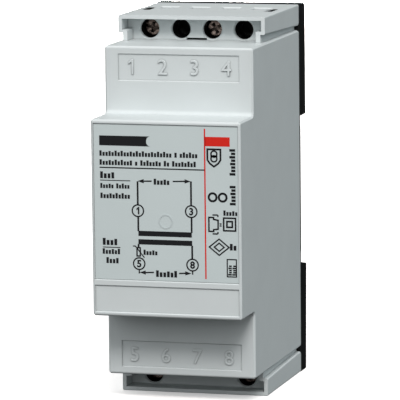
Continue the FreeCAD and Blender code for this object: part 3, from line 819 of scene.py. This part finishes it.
@dataclass
class FrontLabel:
    """Foil on the front with its generic print and the circuit diagram."""

    face: float = -54.85
    ink_thickness: float = 0.02
    mark_rise: float = 0.08
    mark_centre: Point = (-0.1, -0.4)
    mark_radius: float = 1.5
    line: float = 0.32
    thin_line: float = 0.256
    middle_line: float = 0.36
    heavy_line: float = 0.42
    frame_line: float = 0.38
    bold_line: float = 0.5
    bite_centre: Point = (-3.55, 17.72)
    bite_half: Point = (0.95, 1.14)
    bite_steps: int = 12
    arrow_length: float = 1.45
    arrow_half: float = 0.48
    ring_radius: float = 1.33
    left: float = -6.55
    right: float = 5.98
    number_height: float = 1.55
    number_weight: float = 0.08
    slot: str = "printed_foil"
    foil: PrintedFoil = PrintedFoil("grey_foil", (0.517, 0.578, 0.581), 0.42)
    # Foil tone of the raised round mark, darker than the foil: painted shade of its relief.
    mark_shade_foil: PrintedFoil = PrintedFoil("round_mark_shade_foil", (0.468, 0.523, 0.528), 0.36)
    inks: dict[Ink, PrintedFoil] = field(
        default_factory=lambda: {
            ink: PrintedFoil(f"{ink.value}_ink", colour, 0.5, coat=0.0, specular=0.12)
            for ink, colour in (
                (Ink.BLACK, (0.012, 0.0125, 0.014)),
                (Ink.RED, (0.60, 0.022, 0.014)),
            )
        }
    )

    def build(self) -> None:
        """Dresses the foil and adds its print, one piece for each colour and group."""
        foil = self.foil.material()
        dress("front_label", foil)
        # Raised round mark in the darker foil tone, which paints the shade of its relief.
        mark = FlatShapes(self.face, self.mark_rise)
        mark.ring(self.mark_centre, self.mark_radius, self.line)
        add_piece("round_mark", mark.finish("round_mark"), self.mark_shade_foil.material())
        finishes = {ink: finish.material() for ink, finish in self.inks.items()}
        prints = {
            "print_heading": (self.heading(), Ink.BLACK),
            "print_red_fields": (self.red_fields(), Ink.RED),
            "print_text_lines": (self.text_lines(), Ink.BLACK),
            "print_circuit": (self.circuit(), Ink.BLACK),
            "print_small_signs": (self.small_signs(), Ink.BLACK),
        }
        for name, (shapes, ink) in prints.items():
            add_piece(name, shapes.finish(name), finishes[ink])
        numbers = self.terminal_numbers()
        add_piece("print_terminal_numbers", numbers, finishes[Ink.BLACK])

    def shapes(self) -> FlatShapes:
        """Starts an empty group of printed shapes."""
        return FlatShapes(self.face, self.ink_thickness)

    def heading(self) -> FlatShapes:
        """Draws the black field of the heading, whose right end is hollowed.

        Returns:
            The shapes.
        """
        shapes = self.shapes()
        (x, z), (wide, tall) = self.bite_centre, self.bite_half
        ways = [math.pi * (i / self.bite_steps - 0.5) for i in range(self.bite_steps + 1)]
        bite = [(x - wide * math.cos(way), z + tall * math.sin(way)) for way in ways]
        shapes.polygon([(-15.52, 16.6), *bite, (-15.52, 18.84)])
        return shapes

    def red_fields(self) -> FlatShapes:
        """Draws the red block and the red upright line.

        Returns:
            The shapes.
        """
        shapes = self.shapes()
        shapes.bar(9.24, 16.98, 15.02, 19.1)
        shapes.bar(9.02, -13.2, 9.34, 20.9)
        return shapes

    def text_lines(self) -> FlatShapes:
        """Draws plain dashes where lines of small print stand, with their rules.

        Returns:
            The shapes.
        """
        shapes = self.shapes()
        lines = (
            (-15.5, 14.2, [24, 1, 6], 1.25),
            (-15.5, 12.15, [11, 1, 7, 2, 8], 1.25),
            (-15.4, 9.1, [4], 1.55),
            (-15.4, 6.85, [5, 5], 1.15),
            (-15.4, 4.55, [10], 1.25),
            (-15.0, -6.15, [4], 1.6),
            (-15.05, -8.2, [6], 1.25),
            (-14.2, -10.3, [4], 1.35),
            (-5.4, -8.15, [5], 1.2),
            (-2.8, 7.95, [5], 1.35),
            (-2.5, -13.1, [6], 1.5),
        )
        rules = (
            (-15.5, 11.42, 9.1, 11.7),
            (-15.4, 8.55, -8.3, 8.75),
            (-15.0, -6.75, -10.85, -6.55),
        )
        for line in lines:
            shapes.words(*line)
        for rule in rules:
            shapes.bar(*rule)
        return shapes

    def circuit(self) -> FlatShapes:
        """Draws the circuit: windings, core, leads, arrows and the thermistor.

        Returns:
            The shapes.
        """
        shapes = self.shapes()
        for x, top, ring in ((self.left - 0.06, 8.6, 1.9), (self.right - 0.08, 8.9, 2.05)):
            shapes.stroke((x, top), (x, ring + self.ring_radius), self.heavy_line)
            shapes.ring((x, ring), self.ring_radius, self.line)
            shapes.stroke((x + 0.06, ring - self.ring_radius), (x + 0.06, -2.8), self.heavy_line)
        shapes.bar(self.left, -3.85, self.right, -2.68)
        shapes.bar(self.left - 0.02, -5.78, self.right + 0.07, -4.6)
        shapes.stroke((self.left, -5.7), (self.left, -6.4), self.heavy_line)
        shapes.frame_of(-7.1, -8.6, -6.0, -6.4, self.line)
        shapes.stroke((-7.9, -6.2), (-7.2, -6.2), self.thin_line)
        shapes.stroke((-7.3, -6.2), (-5.2, -8.8), self.thin_line)
        shapes.ring((-6.46, -10.2), self.ring_radius, self.line)
        shapes.stroke((self.right + 0.05, -5.7), (self.right + 0.05, -8.8), self.heavy_line)
        shapes.ring((6.08, -10.12), self.ring_radius, self.line)
        shapes.stroke((-6.46, -10.2 - self.ring_radius), (-6.46, -12.45), self.line)
        shapes.stroke((6.08, -10.12 - self.ring_radius), (6.08, -12.3), self.line)
        self.arrow(shapes, (-3.3, 8.72), (-6.6, 8.66))
        self.arrow(shapes, (1.65, 8.78), (5.9, 8.88))
        self.arrow(shapes, (-3.0, -12.1), (-6.4, -12.2))
        self.arrow(shapes, (2.9, -12.14), (5.8, -12.06))
        return shapes

    def arrow(self, shapes: FlatShapes, start: Point, tip: Point) -> None:
        """Draws an arrow with a slim filled head.

        Args:
            shapes: Group that gets the arrow.
            start: Tail of the shaft.
            tip: Point of the head.
        """
        way = 1.0 if tip[0] > start[0] else -1.0
        neck = (tip[0] - way * self.arrow_length, tip[1])
        shapes.stroke(start, neck, self.line)
        head = [(neck[0], neck[1] - self.arrow_half), tip, (neck[0], neck[1] + self.arrow_half)]
        shapes.polygon(head if way > 0 else list(reversed(head)))

    def small_signs(self) -> FlatShapes:
        """Draws plain shapes down the right edge, where small signs stand.

        Returns:
            The shapes.
        """
        shapes = self.shapes()
        self.shield(shapes)
        for x in (10.93, 13.27):
            shapes.ring((x, 5.45), 0.9, self.bold_line)
        self.rail_sign(shapes)
        shapes.frame_of(13.25, -2.25, 16.4, 1.0, self.frame_line)
        shapes.frame_of(14.0, -1.45, 15.65, 0.25, 0.4)
        for wide, tall in ((2.3, 1.85), (1.15, 0.93)):
            self.diamond(shapes, (12.35, -5.85), wide, tall)
        shapes.frame_of(14.05, -12.65, 16.45, -8.45, 0.27)
        shapes.words(13.4, 1.35, [5], 1.2)
        shapes.words(14.85, -6.5, [2], 1.5)
        upright_lines = (
            (15.6, 10.5, [8], 1.35),
            (15.6, 3.75, [6], 1.35),
            (14.8, -12.2, [5], 0.85),
            (15.75, -12.2, [5], 0.85),
        )
        for line in upright_lines:
            shapes.words(*line, upright=True)
        return shapes

    def shield(self, shapes: FlatShapes) -> None:
        """Draws the sign of a safety transformer: two rings and a bar in a shield.

        Args:
            shapes: Group that gets the sign.
        """
        corners = [
            (9.8, 13.9),
            (9.8, 16.3),
            (12.85, 16.3),
            (12.85, 13.9),
            (12.3, 13.1),
            (11.3, 12.4),
            (10.35, 13.1),
        ]
        shapes.outline(corners, self.heavy_line)
        for level in (15.24, 14.18):
            shapes.ring((11.32, level), 0.69, self.middle_line)
        shapes.stroke((10.5, 14.71), (12.14, 14.71), self.middle_line)

    def rail_sign(self, shapes: FlatShapes) -> None:
        """Draws the housing's side outline on a rail, with two short lines beside it.

        Args:
            shapes: Group that gets the sign.
        """
        corners = [
            (10.0, -2.3),
            (10.0, 0.87),
            (11.1, 0.87),
            (11.1, 0.45),
            (12.15, 0.25),
            (12.15, -1.75),
            (11.1, -1.9),
            (11.1, -2.3),
        ]
        shapes.outline(corners, self.middle_line)
        for level, rise in ((1.45, -0.45), (-2.85, 0.45)):
            shapes.stroke((10.85, level), (12.1, level), self.line)
            shapes.stroke((12.1, level), (12.1, level + rise), self.line)
        for level in (-0.55, -1.0):
            shapes.stroke((12.5, level), (12.95, level), self.line)

    def diamond(self, shapes: FlatShapes, centre: Point, wide: float, tall: float) -> None:
        """Draws a square that stands on its corner.

        Args:
            shapes: Group that gets the square.
            centre: Its centre.
            wide: Half of its width.
            tall: Half of its height.
        """
        x, z = centre
        shapes.outline([(x - wide, z), (x, z + tall), (x + wide, z), (x, z - tall)], self.line)

    def terminal_numbers(self) -> bpy.types.Mesh:
        """Draws the plain numbers in the rings.

        Returns:
            The numbers as one mesh.
        """
        places = {"1": (-6.61, 1.9), "3": (5.9, 2.05), "5": (-6.46, -10.2), "8": (6.08, -10.12)}
        look = {
            "back": self.face,
            "height": self.number_height,
            "thickness": self.ink_thickness,
            "weight": self.number_weight,
        }
        meshes = [Numeral(text, place, **look).mesh() for text, place in places.items()]
        return merged("print_terminal_numbers", meshes)


@dataclass
class CoilSpring:
    """Round-wire compression spring under the latch; the latch shortens it as it goes down, but it
    is built at one length, that of its room.
    """

    node: str = "latch_spring"
    joint: str = "rail_latch_slide"
    seat: float = -34.5
    wire: float = 0.4
    mean_radius: float = 1.0
    turns: int = 5
    steps: int = 24
    sides: int = 8
    shortest: float = 0.52
    slot: str = "spring_steel"

    def middle(self) -> Vector:
        """Finds the middle of the spring's room, in metres."""
        low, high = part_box(self.node)
        return (low + high) / 2

    def section(self, turn: float) -> list[Vector]:
        """Places the corners of the wire's section.

        Args:
            turn: Turns from the lower end.

        Returns:
            The corners, in metres.
        """
        low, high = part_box(self.node)
        angle = 2 * math.pi * turn
        outward = Vector((math.cos(angle), math.sin(angle), 0.0))
        rise = high.z - low.z - self.wire * MM
        level = low.z + self.wire / 2 * MM + rise * turn / self.turns
        middle = self.middle()
        centre = Vector((middle.x, middle.y, level)) + outward * self.mean_radius * MM
        around = Vector((-outward.y, outward.x, 0.0)) * (2 * math.pi * self.mean_radius * MM)
        along = (around + Vector((0.0, 0.0, rise / self.turns))).normalized()
        upward = outward.cross(along)
        corners = []
        for side in range(self.sides):
            way = 2 * math.pi * side / self.sides
            reach = outward * math.cos(way) + upward * math.sin(way)
            corners.append(centre + reach * (self.wire / 2 * MM))
        return corners

    def mesh(self) -> bpy.types.Mesh:
        """Sweeps the section along the turns and closes both ends.

        Returns:
            The spring's mesh.
        """
        tube = bmesh.new()
        loops = [
            [tube.verts.new(corner) for corner in self.section(step / self.steps)]
            for step in range(self.turns * self.steps + 1)
        ]
        for first, second in zip(loops, loops[1:]):
            for i in range(self.sides):
                j = (i + 1) % self.sides
                tube.faces.new((first[i], first[j], second[j], second[i])).smooth = True
        tube.faces.new(loops[0])
        tube.faces.new(loops[-1])
        bmesh.ops.recalc_face_normals(tube, faces=tube.faces)
        mesh = bpy.data.meshes.new("latch_spring_wire")
        tube.to_mesh(mesh)
        tube.free()
        return mesh

    def build(self, steel: bpy.types.Material) -> None:
        """Adds the spring in place of its plain solid.

        Args:
            steel: Finish of the wire.
        """
        piece = add_piece("latch_spring_wire", self.mesh(), steel)
        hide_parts(self.node)
        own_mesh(piece)


@dataclass
class RearBase:
    """Black base with its hooks, sprung latch and spring."""

    finish: MouldedPlastic = MouldedPlastic(
        "black_moulding",
        (0.0075, 0.008, 0.0083),
        0.5,
        grain_depth_mm=0.008,
        cloud_change=0.1,
        specular=0.12,
    )
    spring: WorkedMetal = WorkedMetal("spring_wire", (0.42, 0.42, 0.42), 0.3, Axis.Z)

    def build(self) -> None:
        """Dresses the base, the latch and the spring."""
        black = self.finish.material()
        for node in ("rear_base", "rail_latch"):
            dress(node, black)
        steel = self.spring.material()
        dress("latch_spring", steel)
        CoilSpring().build(steel)


@dataclass
class Terminals:
    """Screws, cages, bars and the black blocks that hold them."""

    clamps: tuple[str, ...] = ("1", "3", "5", "8")
    block: MouldedPlastic = MouldedPlastic(
        "terminal_block_moulding",
        (0.004, 0.0042, 0.0045),
        0.6,
        grain_depth_mm=0.008,
        cloud_change=0.1,
        specular=0.1,
    )
    screw: WorkedMetal = WorkedMetal(
        "passivated_steel",
        (0.31, 0.235, 0.205),
        0.24,
        Axis.X,
        stain_change=0.9,
        stain_mm=0.7,
        # Strong painted shade: the screw's slot and inner corners go almost black.
        shade_reach_mm=0.9,
        shade_left=0.03,
    )
    cage: WorkedMetal = WorkedMetal("zinc_plate", (0.60, 0.61, 0.62), 0.32, Axis.Y)
    bar: WorkedMetal = WorkedMetal("tinned_strip", (0.62, 0.59, 0.50), 0.3, Axis.Z)

    def build(self) -> None:
        """Dresses both blocks and every clamp."""
        moulding = self.block.material()
        for node in ("upper_terminal_block", "lower_terminal_block"):
            dress(node, moulding)
        finishes = {
            "screw": self.screw.material(),
            "cage": self.cage.material(),
            "bar": self.bar.material(),
        }
        for number in self.clamps:
            for part, material in finishes.items():
                dress(f"terminal_{part}_{number}", material)


@dataclass
class Coil:
    """Iron core, bobbin, windings, leads and thermistor inside the cover."""

    plates: BandedSurface = BandedSurface(
        "stacked_plates",
        colour=(0.30, 0.30, 0.31),
        seam_colour=(0.03, 0.03, 0.032),
        grain=Axis.X,
        pitch_mm=0.5,
        depth_mm=0.04,
        metallic=0.8,
        roughness=0.45,
    )
    wire: BandedSurface = BandedSurface(
        "enamelled_wire",
        colour=(0.45, 0.13, 0.045),
        seam_colour=(0.08, 0.02, 0.01),
        grain=Axis.Z,
        pitch_mm=0.4,
        depth_mm=0.08,
        metallic=0.7,
        roughness=0.3,
    )
    tape: PrintedFoil = PrintedFoil("polyester_tape", (0.70, 0.47, 0.06), 0.25, coat=0.5)
    former: MouldedPlastic = MouldedPlastic(
        "coil_former_moulding",
        (0.012, 0.012, 0.013),
        0.5,
        cloud_change=0.1,
    )
    sleeve: MouldedPlastic = MouldedPlastic(
        "lead_sleeve",
        (0.012, 0.012, 0.014),
        0.35,
        cloud_change=0.1,
    )
    lacquer: MouldedPlastic = MouldedPlastic(
        "lacquered_disc",
        (0.25, 0.12, 0.012),
        0.3,
        cloud_change=0.15,
    )

    def build(self) -> None:
        """Dresses every inner piece."""
        leads = ("secondary_lead_1", "secondary_lead_3", "primary_lead_5", "primary_lead_8")
        groups = (
            (self.plates, ("core_e_plates", "core_i_plates")),
            (self.wire, ("secondary_winding", "primary_winding")),
            (self.tape, ("secondary_tape", "primary_tape")),
            (self.former, ("bobbin",)),
            (self.sleeve, leads),
            (self.lacquer, ("thermistor",)),
        )
        for finish, nodes in groups:
            material = finish.material()
            for node in nodes:
                dress(node, material)


@dataclass(frozen=True)
class SoftBox:
    """Rectangular studio light that faces the part."""

    name: str
    place: tuple[float, float, float]
    size: tuple[float, float]
    power: float
    colour: Colour
    target: tuple[float, float, float] = (0.0, -0.025, 0.0)

    def build(self) -> None:
        """Hangs the light at its place, turned to the part and unseen by the camera."""
        light = bpy.data.lights.new(self.name, "AREA")
        light.color = self.colour
        light.shape = "RECTANGLE"
        light.size, light.size_y = self.size
        light.energy = self.power
        lamp = bpy.data.objects.new(self.name, light)
        lamp.visible_camera = False
        lamp.location = self.place
        aim = Vector(self.place) - Vector(self.target)
        lamp.rotation_euler = aim.to_track_quat("Z", "Y").to_euler()
        bpy.context.scene.collection.objects.link(lamp)


@dataclass(frozen=True)
class SkyFall:
    """Smooth change of the sky's strength along one axis, from one direction to another."""

    axis: Axis
    low: float
    high: float
    start: float
    end: float


@dataclass
class Studio:
    """Pale floor, soft light and the camera."""

    floor_level: float = -44.0
    floor_half: float = 3.0
    floor_colour: Colour = (0.99, 0.97, 0.96)
    floor_cloud_mm: float = 120.0
    floor_change: float = 0.005
    floor_glow: float = 0.35
    camera_place: tuple[float, float, float] = (239.175, -877.294, 127.604)
    yaw: float = 15.701
    pitch: float = 8.183
    roll: float = -0.609
    focal_px: float = 3842.0
    frame_px: float = 400.0
    sensor: float = 36.0
    farthest: float = 20.0
    sky_colour: Colour = (0.965, 0.985, 0.99)
    sky_falls: tuple[SkyFall, ...] = (
        SkyFall(Axis.Z, -0.1, 0.32, 0.09, 1.1),
        SkyFall(Axis.Y, -0.1, 0.5, 1.0, 0.12),
    )
    lights: tuple[SoftBox, ...] = (
        SoftBox("key_light", (0.34, -0.92, 0.88), (0.5, 0.34), 10.9, (1.0, 0.967, 0.95)),
        SoftBox("side_light", (0.95, 0.3, 0.15), (0.6, 0.6), 1.6, (0.78, 0.95, 1.0)),
        SoftBox("back_light", (-0.35, 0.95, 0.0), (0.6, 0.08), 9.0, (1.0, 0.967, 0.95)),
    )

    def build(self) -> None:
        """Sets up the floor, the sky, the lights and the camera."""
        self.floor()
        self.sky()
        for light in self.lights:
            light.build()
        self.camera()
        bpy.context.scene.view_settings.view_transform = "Standard"

    def floor(self) -> None:
        """Lays a wide pale floor that the part stands on."""
        half, level = self.floor_half, self.floor_level * MM
        ends = ((-half, -half), (half, -half), (half, half), (-half, half))
        mesh = bpy.data.meshes.new("studio_floor")
        mesh.from_pydata([(x, y, level) for x, y in ends], [], [(0, 1, 2, 3)])
        nodes = MaterialNodes("pale_floor")
        cloud = nodes.noise(self.floor_cloud_mm)
        nodes.paint(nodes.tint(self.floor_colour, cloud, self.floor_change))
        nodes.set(
            Roughness=0.9,
            Specular_IOR_Level=0.1,
            Emission_Strength=self.floor_glow,
            Emission_Color=(*WHITE, 1.0),
        )
        mesh.materials.append(nodes.material)
        floor = bpy.data.objects.new("studio_floor", mesh)
        bpy.context.scene.collection.objects.link(floor)
        floor.visible_diffuse = False
        floor.visible_glossy = False

    def sky(self) -> None:
        """Makes the soft light all round, weak from below and behind, and white where seen."""
        world = bpy.data.worlds.new("studio_world")
        bpy.context.scene.world = world
        world.use_nodes = True
        nodes, links = world.node_tree.nodes, world.node_tree.links
        seen = nodes.new("ShaderNodeLightPath").outputs["Is Camera Ray"]
        pick = nodes.new("ShaderNodeMix")
        factor, as_light, as_seen = (s for s in pick.inputs if s.type == "VALUE")
        links.new(seen, factor)
        links.new(self.sky_strength(world.node_tree), as_light)
        as_seen.default_value = 1.0
        background = nodes["Background"]
        links.new(pick.outputs[0], background.inputs["Strength"])
        tone = mix_colours(world.node_tree, seen, self.sky_colour, WHITE)
        links.new(tone, background.inputs["Color"])

    def sky_strength(self, tree: bpy.types.NodeTree) -> bpy.types.NodeSocket:
        """Multiplies the sky's falls along the axes.

        Args:
            tree: Node tree of the world.

        Returns:
            The strength of the sky in each direction.
        """
        nodes, links = tree.nodes, tree.links
        split = nodes.new("ShaderNodeSeparateXYZ")
        links.new(nodes.new("ShaderNodeTexCoord").outputs["Generated"], split.inputs[0])
        total = nodes.new("ShaderNodeMath")
        total.operation = "MULTIPLY"
        for fall, factor in zip(self.sky_falls, total.inputs):
            ramp = nodes.new("ShaderNodeMapRange")
            ramp.interpolation_type = "SMOOTHSTEP"
            ends = {
                "From Min": fall.low,
                "From Max": fall.high,
                "To Min": fall.start,
                "To Max": fall.end,
            }
            for name, value in ends.items():
                ramp.inputs[name].default_value = value
            links.new(split.outputs[fall.axis.value], ramp.inputs["Value"])
            links.new(ramp.outputs["Result"], factor)
        return total.outputs[0]

    def camera(self) -> None:
        """Sets the camera at the photograph's viewing angle."""
        yaw, pitch, roll = (math.radians(a) for a in (self.yaw, self.pitch, self.roll))
        ahead = Vector((math.sin(yaw), -math.cos(yaw), 0.0)) * math.cos(pitch)
        back = ahead + Vector((0.0, 0.0, math.sin(pitch)))
        level = Vector((math.cos(yaw), math.sin(yaw), 0.0))
        upright = back.cross(level)
        right = math.cos(roll) * level + math.sin(roll) * upright
        up = math.cos(roll) * upright - math.sin(roll) * level
        data = bpy.data.cameras.new("camera")
        data.sensor_width = self.sensor
        data.lens = self.focal_px * self.sensor / self.frame_px
        data.clip_end = self.farthest
        camera = bpy.data.objects.new("camera", data)
        turn = Matrix((right, up, back)).transposed().to_4x4()
        camera.matrix_world = Matrix.Translation(Vector(self.camera_place) * MM) @ turn
        bpy.context.scene.collection.objects.link(camera)
        bpy.context.scene.camera = camera


def main() -> None:
    """Builds every sub-assembly in order."""
    logging.basicConfig(level=logging.INFO, format="%(message)s")
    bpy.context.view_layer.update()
    for assembly in (Studio(), Housing(), FrontLabel(), RearBase(), Terminals(), Coil()):
        LOG.info("building %s", type(assembly).__name__)
        assembly.build()


if __name__ == "__main__":
    main()
